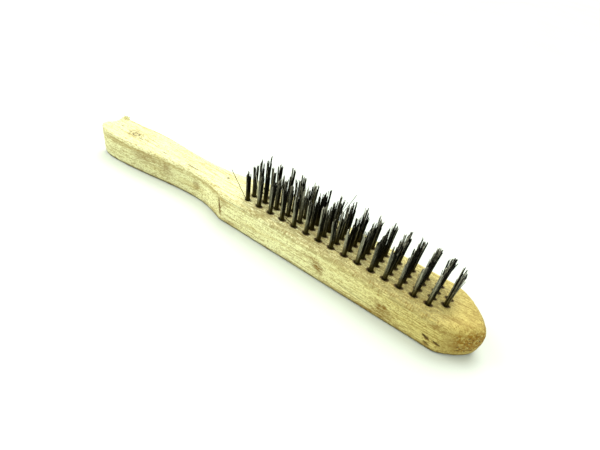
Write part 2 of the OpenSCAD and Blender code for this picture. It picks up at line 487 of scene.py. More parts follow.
        # painted shade round each bore mouth
        halo = wood.product(wood.rise(wood.length(cell), 1.12, 0.8, 0.9), worn, among_rows)
        return wood.mix(halo, marked, self.split_and_shade)

    def folded(self, wood: Recipe, value: Socket, first: float, step: float, reach: float) -> Socket:
        """Fold a coordinate into one cell of a lattice, centred on its point.

        Args:
            wood: The material.
            value: The coordinate, mm.
            first: Coordinate of a lattice point, mm.
            step: Spacing of the lattice, mm.
            reach: Distance that becomes 1, mm.

        Returns:
            Socket of the folded coordinate.
        """
        cell = wood.calc("WRAP", wood.calc("SUBTRACT", value, first), step / 2, -step / 2)
        return wood.calc("MULTIPLY", cell, 1 / reach)

    def lower_edge(self, wood: Recipe, colour: Socket) -> Socket:
        """Brown the arris along the back, darker towards the bottom, with a dark line of painted contact
        shadow just above the floor.

        Args:
            wood: The material.
            colour: Colour so far.

        Returns:
            Socket of the colour.
        """
        broken = wood.rise(wood.noise((9.0, 2.0, 1.6), 4.0, 0.65), 0.38, 0.62, 0.75)
        browned = wood.mix(wood.product(wood.rise(wood.z, 4.2, 0.6), broken), colour, self.scorch)
        # painted contact shadow: a dark line 0.3 to 2 mm above the floor
        painted_contact_shadow = wood.product(wood.rise(wood.z, 2.0, 0.9, 0.8), wood.rise(wood.z, 0.3, 0.5))
        return wood.mix(painted_contact_shadow, browned, self.split_and_shade)

    def crease(self, wood: Recipe, colour: Socket) -> Socket:
        """Paint shade on the side of the handle just below the crease where its rounded upper edge runs
        out.

        Args:
            wood: The material.
            colour: Colour so far.

        Returns:
            Socket of the colour.
        """
        # painted shade just below the crease
        below = wood.product(wood.rise(wood.z, 18.1, 17.4), wood.rise(wood.z, 12.5, 17.3, 0.7))
        broken = wood.rise(wood.noise((9.0, 3.0, 2.0), 3.0), 0.30, 0.60)
        return wood.mix(wood.product(below, wood.rise(wood.x, -62.0, -86.0), broken), colour, self.dark)

    def nose_end_grain(self, wood: Recipe, colour: Socket) -> Socket:
        """Brown the worn nose and its open end grain. The specks are drawn a few vessels wide, because a
        single vessel is too fine to show.

        Args:
            wood: The material.
            colour: Colour so far.

        Returns:
            Socket of the colour.
        """
        wavy = wood.calc("MULTIPLY_ADD", wood.noise((7.0, 7.0, 5.0), 3.0, 0.6), 16.0, wood.x)
        blotches = wood.rise(wood.noise((5.0, 4.0, 4.0), 4.0, 0.65), 0.36, 0.60)
        colour = wood.mix(wood.product(wood.rise(wavy, 70.0, 92.0, 0.5), blotches), colour, self.dark)
        between_edges = wood.product(wood.rise(wood.z, 20.5, 16.0), wood.rise(wood.z, 2.5, 5.5))
        patch = wood.product(wood.rise(wavy, 85.0, 92.0), between_edges)
        specks = wood.rise(wood.noise((1.5, 1.5, 1.2), 3.0, 0.65), 0.38, 0.54)
        tinted = wood.mix(wood.product(patch, specks), colour, self.end_grain)
        spots = wood.rise(wood.noise((2.2, 2.0, 1.6), 3.0, 0.6), 0.56, 0.64, 0.75)
        return wood.mix(wood.product(patch, spots), tinted, self.split_and_shade)

    def knot(self, wood: Recipe, colour: Socket) -> Socket:
        """Add the small pin knot on the handle, as broken rings round its heart.

        Args:
            wood: The material.
            colour: Colour so far.

        Returns:
            Socket of the colour.
        """
        reach = wood.inside(wood.mm, (-171.0, -9.2, 20.0), (6.8, 5.4, 6.0))
        wobble = wood.calc("MULTIPLY_ADD", wood.noise((3.0, 2.5, 3.0)), 0.9, reach)
        line = wood.rise(wood.calc("PINGPONG", wobble, 0.26), 0.15, 0.21, 0.85)
        broken = wood.rise(wood.noise((1.6, 1.2, 2.0)), 0.36, 0.48)
        halo = wood.mix(wood.rise(wobble, 1.9, 0.9, 0.3), colour, self.dark)
        return wood.mix(wood.product(line, wood.rise(wobble, 1.45, 1.1), broken), halo, self.split_and_shade)

    def stained(self, wood: Recipe, colour: Socket, marks: list[Mark]) -> Socket:
        """Lay the burns and splits over the wood; the split marks include painted shade in grooves, along
        the crease and round bore mouths.

        Args:
            wood: The material.
            colour: Colour so far.
            marks: The marks.

        Returns:
            Socket of the colour.
        """
        settings = {"in:Scale": 0.5, "in:Detail": 3.0, "in:Roughness": 0.65}
        shift = wood.node("ShaderNodeTexNoise", settings, {"Vector": wood.mm}, "Color")
        centring = {"operation": "SUBTRACT", "in:1": (0.5, 0.5, 0.5)}
        centred = wood.node("ShaderNodeVectorMath", centring, {0: shift})
        streaks = wood.rise(wood.noise((5.0, 1.0, 0.9), 4.0, 0.7), 0.32, 0.54)
        burn, split_and_shade = (Stain.BURN, self.scorch, 5.0, 0.25), (Stain.SPLIT_AND_SHADE, self.split_and_shade, 0.5, 0.75)
        for stain, hue, wander, soft in (burn, split_and_shade):
            wandering = {"operation": "MULTIPLY_ADD", "in:1": (wander,) * 3}
            moved = wood.node("ShaderNodeVectorMath", wandering, {0: centred, 2: wood.mm})
            shades = [
                wood.rise(wood.inside(moved, mark.centre, mark.half, mark.turn), 1.1, soft, mark.depth)
                for mark in marks
                if mark.stain is stain
            ]
            total = shades[0]
            for shade in shades[1:]:
                total = wood.calc("MAXIMUM", total, shade)
            if stain is Stain.BURN:
                total = wood.product(total, streaks)
            colour = wood.mix(total, colour, hue)
        return colour


@dataclass(frozen=True)
class BoredBeech:
    """Inside of the drilled bores: beech torn by the drill, coloured dark brown to near black as painted
    shade deep in the narrow bores."""

    name: str = "bored_beech_iron_stained"
    light: str = "5B4A24"
    dark: str = "1D160A"
    ring_mm: float = 1.1

    def build(self) -> bpy.types.Material:
        """Make the material and return it."""
        wood = Recipe(self.name)
        torn = wood.noise((self.ring_mm,) * 3, 3.0, 0.5)
        # near-black colour: painted shade inside the bores
        colour = wood.ramp(torn, (0.35, self.dark), (0.65, self.light))
        return wood.finish(
            {"in:Roughness": 0.9, "in:Specular IOR Level": 0.15},
            {"Base Color": colour, "Normal": wood.relief(torn, 0.6, 0.2)},
        )


@dataclass(frozen=True)
class OiledSteelWire:
    """Hard-drawn carbon steel wire with its oily black skin: almost black, with a dull shine along each
    wire that is a painted highlight, laid brightest on the lit side of each tuft, and olive towards the
    block."""

    name: str = "hard_drawn_steel_wire_oiled"
    skin: str = "16150F"
    bright: str = "B4B29C"
    low_olive: str = "4F4719"
    low_olive_mm: float = 9.0
    streak_mm: float = 2.5
    roughness: float = 0.34

    def build(self, wood_top: float) -> bpy.types.Material:
        """Make the material.

        Args:
            wood_top: Height of the wood that the wires stand in, mm.

        Returns:
            The material.
        """
        wire = Recipe(self.name)
        tone = wire.node("ShaderNodeAttribute", {"attribute_name": "wire_tone_and_painted_light"}, {}, "Fac")
        streaks = wire.noise((0.4, 0.4, self.streak_mm), 3.0, 0.5)
        # painted highlight: the bright end of the ramp, laid mostly on the lit side of each tuft by the
        # per-wire tone
        steel = wire.ramp(wire.product(tone, streaks), (0.14, self.skin), (0.5, self.bright))
        # olive towards the block
        low = wire.rise(wire.z, wood_top + self.low_olive_mm, wood_top, 0.8)
        return wire.finish(
            {"in:Metallic": 1.0},
            {
                "Base Color": wire.mix(low, steel, self.low_olive),
                "Roughness": wire.level(streaks, self.roughness + 0.03, 0.11),
            },
        )


@dataclass(frozen=True)
class CroppedSteel:
    """Flat mild steel wire, rolled and cropped cold: a duller grey than the bristles, with fine
    rolling lines."""

    name: str = "flat_rolled_mild_steel"
    light: str = "8F9092"
    dark: str = "55534E"
    line_mm: float = 0.3
    roughness: float = 0.42

    def build(self) -> bpy.types.Material:
        """Make the material and return it."""
        steel = Recipe(self.name)
        lines = steel.noise((3.0, self.line_mm, self.line_mm), 2.0, 0.5)
        colour = steel.ramp(lines, (0.35, self.dark), (0.65, self.light))
        return steel.finish(
            {"in:Metallic": 1.0, "in:Roughness": self.roughness},
            {"Base Color": colour, "Normal": steel.relief(lines, 0.3, 0.02)},
        )


@dataclass(frozen=True)
class PaperSweep:
    """Matt background paper, off-white with a trace of green, so its soft shadows turn faintly green."""

    name: str = "matt_background_paper"
    light: str = "DCE2D9"
    dark: str = "D9DFD6"
    patch_mm: float = 120.0

    def build(self) -> bpy.types.Material:
        """Make the material and return it."""
        paper = Recipe(self.name)
        cloud = paper.noise((self.patch_mm,) * 3, 2.0, 0.5)
        colour = paper.ramp(cloud, (0.3, self.dark), (0.7, self.light))
        return paper.finish({"in:Roughness": 0.95, "in:Specular IOR Level": 0.1}, {"Base Color": colour})


@dataclass
class TuftField:
    """Where the tufts stand, read from the anchors of the frame.

    Attributes:
        ranks: Number of cross-ways ranks.
        anchor_t: Thickness of an anchor, mm.
    """

    ranks: int = 16
    anchor_t: float = 0.4
    top: float = field(init=False)
    ranked: list[list[Vector]] = field(init=False)

    def __post_init__(self) -> None:
        """Read the height of the wood and the places of the bores."""
        self.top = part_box("handle_block")[1].z / MM
        self.ranked = [self.read_rank(rank) for rank in range(1, self.ranks + 1)]

    def read_rank(self, rank: int) -> list[Vector]:
        """Read the bores of one rank from its anchors.

        Args:
            rank: Number of the rank, from 1 at the handle.

        Returns:
            Centre of each bore mouth, mm, from the -Y side.
        """
        low, high = (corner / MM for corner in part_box(f"anchor_rank_{rank:02d}"))
        first, last = low.y + self.anchor_t / 2, high.y - self.anchor_t / 2
        count = 2 if rank == self.ranks else 4
        x = (low.x + high.x) / 2
        return [Vector((x, first + (last - first) * i / (count - 1), self.top)) for i in range(count)]

    def places(self, rank: int) -> list[Vector]:
        """Return the centre of each bore mouth of a rank, mm."""
        return self.ranked[rank - 1]

    def closest_rank(self, x: float) -> list[Vector]:
        """Return the bore mouths of the rank that is closest to a station, mm."""
        first, last = self.ranked[0][0].x, self.ranked[-2][0].x
        index = round((x - first) / (last - first) * (self.ranks - 2))
        return self.ranked[min(max(index, 0), self.ranks - 1)]

    def limits(self) -> tuple[Vector, Vector]:
        """Return the lowest and highest corner of the bore mouths, mm."""
        spots = [spot for rank in self.ranked for spot in rank]
        low, high = (Vector(tuple(end(spot[i] for spot in spots) for i in range(3))) for end in (min, max))
        return low, high

    def pitch(self) -> Vector:
        """Return the distance between ranks and between rows, with the height of the face, mm."""
        first, second = self.ranked[0], self.ranked[1]
        return Vector((second[0].x - first[0].x, first[1].y - first[0].y, self.top))


@dataclass
class BrushBlock:
    """The wooden block: handle and head in one piece, with its bores.

    Attributes:
        plan: Where the tufts stand.
        node: CAD node that the piece stands for.
        cell: Size of a cell of the skin, mm.
        rim: Width of the torn rim round each bore, mm.
        bore_reach: Radius round a bore that holds its wall and its slits, mm.
        torn: Least and greatest depth that a rim has lost, mm.
        wall: Least height, and least depth below the face, at which a face counts as bore wall, mm.
        face_depth: How far a face may lie off a groove and still be cut by it, mm.
        wave: Height of the unevenness that planing left, mm.
        nose_x: Where the rougher end grain of the nose starts, mm.
        weld: Distance below which vertices are one, mm.
        sharp_angle: Angle from which an edge is shaded as sharp, degrees.
        rim_seed: Seed of the torn rims.
        splinters: Number of splinters at the handle's end.
        splinter_start: Where the first of them stands, mm.
        splinter_step: Distance from each to the next, mm.
        splinter_height: Their least and greatest height, mm.
        splinter_seed: Seed of their heights and leans.
    """

    plan: TuftField
    node: str = "handle_block"
    cell: float = 2.2
    rim: float = 0.3
    bore_reach: float = 2.75
    torn: tuple[float, float] = (0.12, 0.4)
    wall: tuple[float, float] = (3.0, 0.45)
    face_depth: float = 9.0
    wave: float = 0.16
    nose_x: float = 78.0
    weld: float = 0.002
    sharp_angle: float = 38.0
    rim_seed: int = 11
    splinters: int = 7
    splinter_start: tuple[float, float] = (-194.6, 1.4)
    splinter_step: float = 0.6
    splinter_height: tuple[float, float] = (1.8, 3.4)
    splinter_seed: int = 5

    def grooves(self) -> list[Groove]:
        """Return the open splits and gouges."""
        split_and_shade = []
        for rank, run in ((5, 4.6), (6, 5.0), (8, 4.2), (9, 4.8), (10, 4.4)):
            mouth = self.plan.places(rank)[0]
            start, end = mouth - Vector((2.0 + run, 0.25, 0.0)), mouth - Vector((1.9, 0.0, 0.0))
            split_and_shade.append(Groove(Face.TOP, tuple(start), tuple(end), 0.9, 0.9))
        side = -20.0
        return split_and_shade + [
            Groove(Face.NEAR_SIDE, (-85.2, -18.0, 17.0), (-81.0, -18.0, 4.5), 1.3, 0.5, 0.45),
            Groove(Face.NEAR_SIDE, (63.2, side, 8.1), (68.0, side, 6.4), 1.6, 0.9, 0.8),
            Groove(Face.NEAR_SIDE, (69.3, side, 7.6), (75.0, side, 5.6), 1.3, 0.8, 0.75),
            Groove(Face.NEAR_SIDE, (65.2, side, 4.2), (69.2, side, 3.0), 1.0, 0.7, 0.6),
            Groove(Face.NEAR_SIDE, (4.0, side, 7.2), (34.0, side, 5.0), 0.6, 0.35, 0.35),
        ]

    def marks(self) -> list[Mark]:
        """Return every mark on the wood, those in the grooves among them, with painted shade along the
        crease and round the bore mouths of the last rank.
        """
        burns = [
            Mark((-150.0, -19.0, 13.0), (16.0, 8.0, 6.5), depth=0.55),
            Mark((-134.0, -17.0, 11.0), (9.0, 7.0, 8.0), depth=0.6),
            Mark((-108.0, -13.0, 11.0), (4.0, 5.0, 4.5), depth=0.6),
            Mark((-80.0, -19.0, 14.0), (4.0, 4.0, 6.0), depth=0.35),
            Mark((-82.8, -18.0, 9.8), (8.0, 3.0, 2.0), 71.0, depth=1.0),
            Mark((-72.0, -20.0, 3.0), (11.0, 4.0, 1.6), depth=0.75),
            Mark((-6.0, -20.0, 9.5), (8.0, 3.0, 4.6), 25.0, depth=1.0),
            Mark((-12.0, -20.0, 13.2), (10.0, 3.0, 0.9), depth=0.8),
            Mark((38.0, -20.5, 4.5), (12.0, 3.0, 1.2), 3.0, depth=0.8),
            Mark((39.0, -20.5, 7.5), (9.0, 3.0, 4.6), 25.0, depth=1.0),
            Mark((70.0, -20.0, 16.2), (8.0, 4.0, 1.8), depth=0.7),
            Mark((78.0, -17.0, 9.0), (10.0, 6.0, 6.5), depth=0.45),
            Mark((65.8, -20.5, 7.2), (4.2, 3.0, 1.7), 20.0, depth=1.0),
            Mark((72.2, -20.5, 6.6), (4.4, 3.0, 1.5), 18.0, depth=0.9),
            Mark((67.3, -20.5, 3.6), (3.2, 3.0, 1.1), 15.0, depth=0.9),
            Mark((40.0, -20.5, 2.2), (26.0, 3.0, 1.3), depth=0.8),
            Mark((-160.0, -8.0, 20.0), (4.5, 2.0, 2.0), depth=0.45),
            Mark((-60.0, 16.0, 20.0), (20.0, 2.0, 2.0), depth=0.35),
        ]
        lines = [
            Mark((-140.5, -10.8, 20.0), (2.6, 0.4, 1.0), stain=Stain.SPLIT_AND_SHADE, depth=0.8),
            Mark((-115.5, -9.0, 20.0), (6.5, 0.5, 1.0), stain=Stain.SPLIT_AND_SHADE, depth=0.8),
            Mark((-92.0, -0.2, 20.0), (0.9, 0.9, 0.8), stain=Stain.SPLIT_AND_SHADE, depth=1.0),
            Mark((-186.0, -8.0, 20.0), (1.0, 0.8, 0.8), stain=Stain.SPLIT_AND_SHADE, depth=0.6),
            Mark((-181.0, -12.5, 20.0), (1.2, 0.7, 0.8), stain=Stain.SPLIT_AND_SHADE, depth=0.5),
            Mark((-164.0, -10.5, 20.0), (2.4, 0.5, 0.8), stain=Stain.SPLIT_AND_SHADE, depth=0.7),
            # painted shade along the crease on the head's near side
            Mark((-70.0, -19.5, 17.6), (13.0, 3.0, 0.35), stain=Stain.SPLIT_AND_SHADE, depth=0.4),
        ]
        last = self.plan.places(self.plan.ranks)
        # painted shade round each bore mouth of the last rank
        bore_mouth_shades = [Mark(tuple(mouth), (3.1, 2.2, 0.8), stain=Stain.SPLIT_AND_SHADE, depth=0.9) for mouth in last]
        return burns + lines + bore_mouth_shades + [groove.mark() for groove in self.grooves()]

    def build(self) -> bpy.types.Object:
        """Make the block from a merged copy of its CAD mesh.

        Returns:
            The piece, not yet dressed.
        """
        bm = bmesh.new()
        bm.from_mesh(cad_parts[self.node].data)
        bmesh.ops.scale(bm, vec=(1 / MM,) * 3, verts=bm.verts)
        bmesh.ops.remove_doubles(bm, verts=bm.verts, dist=self.weld)
        self.tear_rims(bm)
        self.divide(bm)
        for groove in self.grooves():
            self.cut(bm, groove)
        self.weather(bm)
        self.add_horn(bm)
        for face in bm.faces:
            face.smooth = True
            face.material_index = int(self.is_bore_wall(face))
        bmesh.ops.triangulate(bm, faces=[f for f in bm.faces if len(f.verts) > 4])
        bmesh.ops.scale(bm, vec=(MM,) * 3, verts=bm.verts)
        mesh = bpy.data.meshes.new("brush_block")
        bm.to_mesh(mesh)
        bm.free()
        mesh.set_sharp_from_angle(angle=math.radians(self.sharp_angle))
        piece = bpy.data.objects.new("brush_block", mesh)
        bpy.context.scene.collection.objects.link(piece)
        return piece

    def nearest(self, x: float, y: float) -> float:
        """Return the distance from a point to the nearest bore axis, mm."""
        return min(math.hypot(x - p.x, y - p.y) for p in self.plan.closest_rank(x))

    def is_bore_wall(self, face: bmesh.types.BMFace) -> bool:
        """Tell whether a face belongs to a bore or an anchor slit."""
        c = face.calc_center_median()
        lowest, below_face = self.wall
        return lowest < c.z < self.plan.top - below_face and self.nearest(c.x, c.y) < self.bore_reach

    def tear_rims(self, bm: bmesh.types.BMesh) -> None:
        """Break the rim of each bore and slit, as the drill and the anchor tore it.

        Args:
            bm: Mesh in millimetres.
        """
        level = self.plan.top - 0.01
        top = [f for f in bm.faces if f.normal.z > 0.999 and f.calc_center_median().z > level]
        rim = {v for f in top for v in f.verts if self.nearest(v.co.x, v.co.y) < self.bore_reach}
        bmesh.ops.inset_region(bm, faces=top, thickness=self.rim, use_even_offset=True, use_boundary=True)
        rng = random.Random(self.rim_seed)
        for v in sorted(rim, key=lambda v: (round(v.co.x, 3), round(v.co.y, 3))):
            if v.co.z > level and self.nearest(v.co.x, v.co.y) < self.bore_reach:
                v.co.z -= rng.uniform(*self.torn)

    def divide(self, bm: bmesh.types.BMesh) -> None:
        """Divide the skin into cells, and leave the bores as they are.

        Args:
            bm: Mesh in millimetres.
        """
        low, high = (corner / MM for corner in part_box(self.node))
        for axis in range(3):
            normal = Vector((0.0, 0.0, 0.0))
            normal[axis] = 1.0
            count = max(2, round((high[axis] - low[axis]) / self.cell))
            for i in range(1, count):
                level = low[axis] + (high[axis] - low[axis]) * i / count
                self.slice(bm, normal * level, normal, lambda f, a=axis, c=level: self.crosses(f, a, c))

    def crosses(self, face: bmesh.types.BMFace, axis: int, level: float) -> bool:
        """Tell whether a face of the skin crosses a level along an axis."""
        values = [v.co[axis] for v in face.verts]
        return min(values) < level - 0.05 and max(values) > level + 0.05 and not self.is_bore_wall(face)

    def slice(self, bm: bmesh.types.BMesh, point: Vector, normal: Vector, wanted: FaceTest) -> None:
        """Cut chosen faces by a plane.

        Args:
            bm: Mesh in millimetres.
            point: Point on the plane.
            normal: Normal of the plane.
            wanted: Test that a face must pass.
        """
        faces = [f for f in bm.faces if wanted(f)]
        if faces:
            edges = list(dict.fromkeys(e for f in faces for e in f.edges))
            bmesh.ops.bisect_plane(bm, geom=faces + edges, dist=0.01, plane_co=point, plane_no=normal)

    def cut(self, bm: bmesh.types.BMesh, groove: Groove) -> None:
        """Open a groove in a face of the block.

        Args:
            bm: Mesh in millimetres.
            groove: The groove.
        """
        out = Vector(groove.face.value)
        a, b = Vector(groove.start), Vector(groove.end)
        along = (b - a).normalized()
        side = out.cross(along).normalized()
        middle, half, width = (a + b) / 2, (b - a).length / 2, groove.width

        def near(f: bmesh.types.BMFace) -> bool:
            """Tell whether a face lies under the groove."""
            if f.normal.dot(out) < 0.6:
                return False
            offsets = [v.co - middle for v in f.verts]
            if abs(sum(o.dot(out) for o in offsets) / len(offsets)) > self.face_depth:
                return False
            runs, across = [o.dot(along) for o in offsets], [o.dot(side) for o in offsets]
            return min(runs) < half and max(runs) > -half and min(across) < width and max(across) > -width

        for shift in (-0.5 * width, 0.0, 0.5 * width):
            self.slice(bm, middle + side * shift, side, near)
        for shift in (-half, -half / 2, 0.0, half / 2, half):
            self.slice(bm, middle + along * shift, along, near)
        for v in {v for f in bm.faces if near(f) for v in f.verts}:
            o = v.co - middle
            run, across = o.dot(along) / half, abs(o.dot(side)) / width
            if abs(run) < 0.98 and across < 0.2 and self.nearest(v.co.x, v.co.y) > 2.0:
                v.co -= out * groove.depth * (1 - run * run)

    def weather(self, bm: bmesh.types.BMesh) -> None:
        """Give the skin the slight waves of planing, rougher on the nose's end grain.

        Args:
            bm: Mesh in millimetres.
        """
        bm.normal_update()
        for v in bm.verts:
            p = v.co
            if self.nearest(p.x, p.y) < self.bore_reach and 2.0 < p.z < self.plan.top + 0.1:
                continue
            lift = self.wave * noise.noise(Vector((p.x / 22, p.y / 7, p.z / 7)))
            lift += 0.4 * self.wave * noise.noise(Vector((p.x / 6, p.y / 2.4 + 9, p.z / 2.4)))
            if p.x > self.nose_x:
                lift += 0.2 * noise.noise(Vector((p.x / 2.0, p.y / 2.0, p.z / 2.0)))
            v.co = p + v.normal * (lift - 0.1)
            v.co.z = max(v.co.z, 0.0)

    def add_horn(self, bm: bmesh.types.BMesh) -> None:
        """Add the little splinters that stand at the far corner of the handle's end.

        Args:
            bm: Mesh in millimetres.
        """
        rng = random.Random(self.splinter_seed)
        x, y = self.splinter_start
        for i in range(self.splinters):
            height = rng.uniform(*self.splinter_height)
            made = bmesh.ops.create_cone(
                bm, cap_ends=True, segments=6, radius1=0.9, radius2=0.12, depth=height
            )
            about_x = Matrix.Rotation(math.radians(rng.uniform(-38, 8)), 4, "X")
            lean = about_x @ Matrix.Rotation(math.radians(rng.uniform(-30, 25)), 4, "Y")
            spot = Vector((x + self.splinter_step * i, y + rng.uniform(-0.3, 0.3), self.plan.top - 0.6))
            raise_up = Matrix.Translation((0, 0, height / 2))
            bmesh.ops.transform(bm, matrix=Matrix.Translation(spot) @ lean @ raise_up, verts=made["verts"])

    def dress(self, piece: bpy.types.Object) -> None:
        """Give the piece its two materials.

        Args:
            piece: The block.
        """
        piece.data.materials.append(RawBeech().build(self.marks(), self.plan.limits(), self.plan.pitch()))
        piece.data.materials.append(BoredBeech().build())
        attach(piece, BODY)
        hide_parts(self.node)


@dataclass(frozen=True)
class Clump:
    """Wires of one tuft that cling together.

    Attributes:
        middle: Where they close up to, off the tuft's axis, mm.
        lean: How far they part from the tuft at full length, mm.
        shorter: How much shorter they are than the tuft, mm.
    """

    middle: Vector
    lean: Vector
    shorter: float


@dataclass
class WireTufts:
    """Tufts of folded wires, one piece for each rank.

    Attributes:
        plan: Where the tufts stand.
        wire_r: Radius of a wire, mm.
        pack_r: Radius that holds the wire centres at the mouth of a bore, mm.
        spread: How much a tuft opens evenly at its tips, as a share.
        parting: How far its clumps may part at their tips, mm.
        cling: How far the wires of a clump close up at their tips, as a share.
        loose: How far a wire that has sprung loose bends away, mm.
        ragged: How much shorter one clump may be than another, mm.
        taper: How much shorter the wires are for each millimetre from the tuft's longest, mm.
        uneven: How much shorter the mean wire is than its neighbours allow, mm.
        free: Length that stands out of the wood, mm.
        fold_z: Height of the lowest point of a folded wire's axis, mm.
        turn_z: Height just above the anchor, where each leg starts to turn in under it, mm.
        window: Room left for the anchor between the two legs, mm.
        gap: Room between two packed wires, mm.
        sprung: Share of the wire ends that have sprung loose.
        shortest: Least length that a wire keeps above the wood, mm.
        rings: Rings of vertices along one folded wire.
        painted_lit_side: Side of each tuft whose wires are painted brighter, as painted light.
        seed: Seed of the random lengths and leans.
    """

    plan: TuftField
    material: bpy.types.Material
    wire_r: float = 0.175
    pack_r: float = 1.235
    spread: float = 0.16
    parting: float = 1.25
    cling: float = 0.5
    loose: float = 1.2
    ragged: float = 6.5
    taper: float = 1.2
    uneven: float = 1.1
    free: float = 25.0
    fold_z: float = 8.45
    turn_z: float = 11.6
    window: float = 0.48
    gap: float = 0.035
    sprung: float = 0.06
    shortest: float = 6.0
    rings: int = 11
    painted_lit_side: Vector = field(default_factory=lambda: Vector((-0.5, -0.87, 0.0)))
    seed: int = 31

    def template(self) -> bpy.types.Mesh:
        """Make one straight wire whose rings lie at whole heights, from 0 up.

        Returns:
            The mesh of the wire, in units of its rings.
        """
        bm = bmesh.new()
        length = self.rings - 1
        bmesh.ops.create_cone(
            bm, cap_ends=True, segments=5, radius1=self.wire_r, radius2=self.wire_r, depth=length
        )
        bmesh.ops.translate(bm, vec=(0, 0, length / 2), verts=bm.verts)
        for level in range(1, length):
            geom = list(bm.verts) + list(bm.edges) + list(bm.faces)
            bmesh.ops.bisect_plane(bm, geom=geom, dist=0.001, plane_co=(0, 0, level), plane_no=(0, 0, 1))
        mesh = bpy.data.meshes.new("wire_template")
        bm.to_mesh(mesh)
        bm.free()
        return mesh

    def packing(self, rng: random.Random) -> list[tuple[Vector, Vector]]:
        """Pair up the wire ends of one tuft across the anchor.

        Args:
            rng: Source of the small shifts.

        Returns:
            Pairs of offsets from the bore axis, one on each side of the anchor, mm.
        """
        step = 2 * self.wire_r + self.gap
        half = []
        row = 0
        y = self.window / 2 + self.wire_r
        while y <= self.pack_r + 0.01:
            count = int(self.pack_r / step) + 1
            shift = step / 2 if row % 2 else 0.0
            for i in range(-count, count + 1):
                x = i * step + shift
                if math.hypot(x, y) <= self.pack_r:
                    half.append(Vector((x + rng.uniform(-0.02, 0.02), y + rng.uniform(0, 0.02), 0)))
            y += step * 0.87
            row += 1
        return [(v, Vector((v.x, -v.y, 0))) for v in half]

    def clumps(self, rng: random.Random) -> list[Clump]:
        """Divide a tuft into the few clumps that its wires cling together in.

        Args:
            rng: Source of their number, leans and lengths.

        Returns:
            The clumps, in order round the tuft.
        """
        count = rng.randint(5, 7)
        longest = rng.randrange(count)
        made = []
        for i in range(count):
            angle = 2 * math.pi * (i + rng.uniform(0.2, 0.8)) / count
            outward = Vector((math.cos(angle), math.sin(angle), 0))
            shorter = 0.0 if i == longest else self.ragged * rng.random() ** 1.2
            lean = outward * rng.uniform(0.1, self.parting)
            made.append(Clump(outward * 0.65 * self.pack_r, lean, shorter))
        return made

    def sector(self, offset: Vector, count: int) -> int:
        """Return the number of the clump that a wire belongs to, by its place in the tuft."""
        return int((math.atan2(offset.y, offset.x) / (2 * math.pi)) % 1.0 * count) % count

    def short_by(self, rank: int, row: int) -> float:
        """Return how much shorter than the rest a tuft has worn or broken, mm."""
        worn = {(1, 0): 3.6, (8, 0): 3.2, (9, 0): 2.2, (11, 0): 1.0, (3, 2): 1.5, (5, 3): 1.2}
        return worn.get((rank, row), 0.0)

    def lean(self, rank: int, row: float) -> Vector:
        """Return how far the trimmed end of a tuft stands off its bore's axis, mm."""
        share = 2 * (rank - 1) / (self.plan.ranks - 1) - 1
        return Vector((-0.9 + 0.9 * share + 0.9 * max(0.0, share) ** 2, -0.6 + 0.27 * (2 * row / 3 - 1), 0))

    def leg(
        self, mouth: Vector, offset: Vector, lean: Vector, length: float, stray: Vector
    ) -> list[Vector]:
        """Lay out one leg of a folded wire from its tip down to the anchor.

        Args:
            mouth: Centre of the bore mouth.
            offset: Offset of the leg from the bore's axis.
            lean: Lean of the tuft at its full length.
            length: Length of this leg above the wood.
            stray: How far this wire bends away at its tip.

        Returns:
            Points from the tip downwards, mm.
        """
        points = []
        for share in (1.0, 0.66, 0.3, -0.02):
            t = max(share, 0.0) * length / self.free
            sideways = offset * (1 + self.spread * t) + lean * t + stray * t**2.2
            points.append(mouth + sideways + Vector((0, 0, share * length)))
        inner = Vector((offset.x, offset.y, 0))
        points.append(Vector((mouth.x, mouth.y, self.turn_z)) + inner)
        return points

    def tone(self, legs: list[list[Vector]], mouth: Vector, row: int, rng: random.Random) -> float:
        """Choose how bright one folded wire is. Wires on the side of each tuft that faces the light are
        painted brighter, most of all in the outermost row, as painted light.

        Args:
            legs: The two legs of the wire.
            mouth: Centre of the bore mouth.
            row: Row of the tuft.
            rng: Source of the wire's own share.

        Returns:
            Brightness, 0 to 1.
        """
        offset = legs[0][3] - mouth
        outer = max((leg[3] - mouth).dot(self.painted_lit_side) / self.pack_r for leg in legs)
        patch = noise.noise(Vector((offset.x * 1.4 + mouth.x, offset.y * 1.4 + mouth.y, 0.5)))
        # painted light: brighter on the lit side of each tuft, most of all in the outermost row
        lit_side = 1.35 * outer - 0.4 if row == 0 else 0.4 * outer + 0.1
        return min(1.0, max(0.0, lit_side + 0.9 * patch + 0.4 * (rng.random() - 0.5)))

    def bend(
        self, bm: bmesh.types.BMesh, template: bpy.types.Mesh, path: list[Vector], tone: float
    ) -> None:
        """Add one wire that follows a path.

        Args:
            bm: Mesh in millimetres that takes the wire.
            template: The straight wire.
            path: One point for each ring.
            tone: How bright this wire is, 0 to 1.
        """
        layer = bm.verts.layers.float["wire_tone_and_painted_light"]
        before = len(bm.verts)
        bm.from_mesh(template)
        bm.verts.ensure_lookup_table()
        frames = []
        for k, centre in enumerate(path):
            ahead, behind = path[min(k + 1, len(path) - 1)], path[max(k - 1, 0)]
            tangent = (ahead - behind).normalized()
            u = Vector((1, 0, 0)) - tangent * tangent.x
            u.normalize()
            frames.append((centre, u, tangent.cross(u)))
        for v in bm.verts[before:]:
            centre, u, w = frames[round(v.co.z)]
            v.co = centre + u * v.co.x + w * v.co.y
            v[layer] = tone

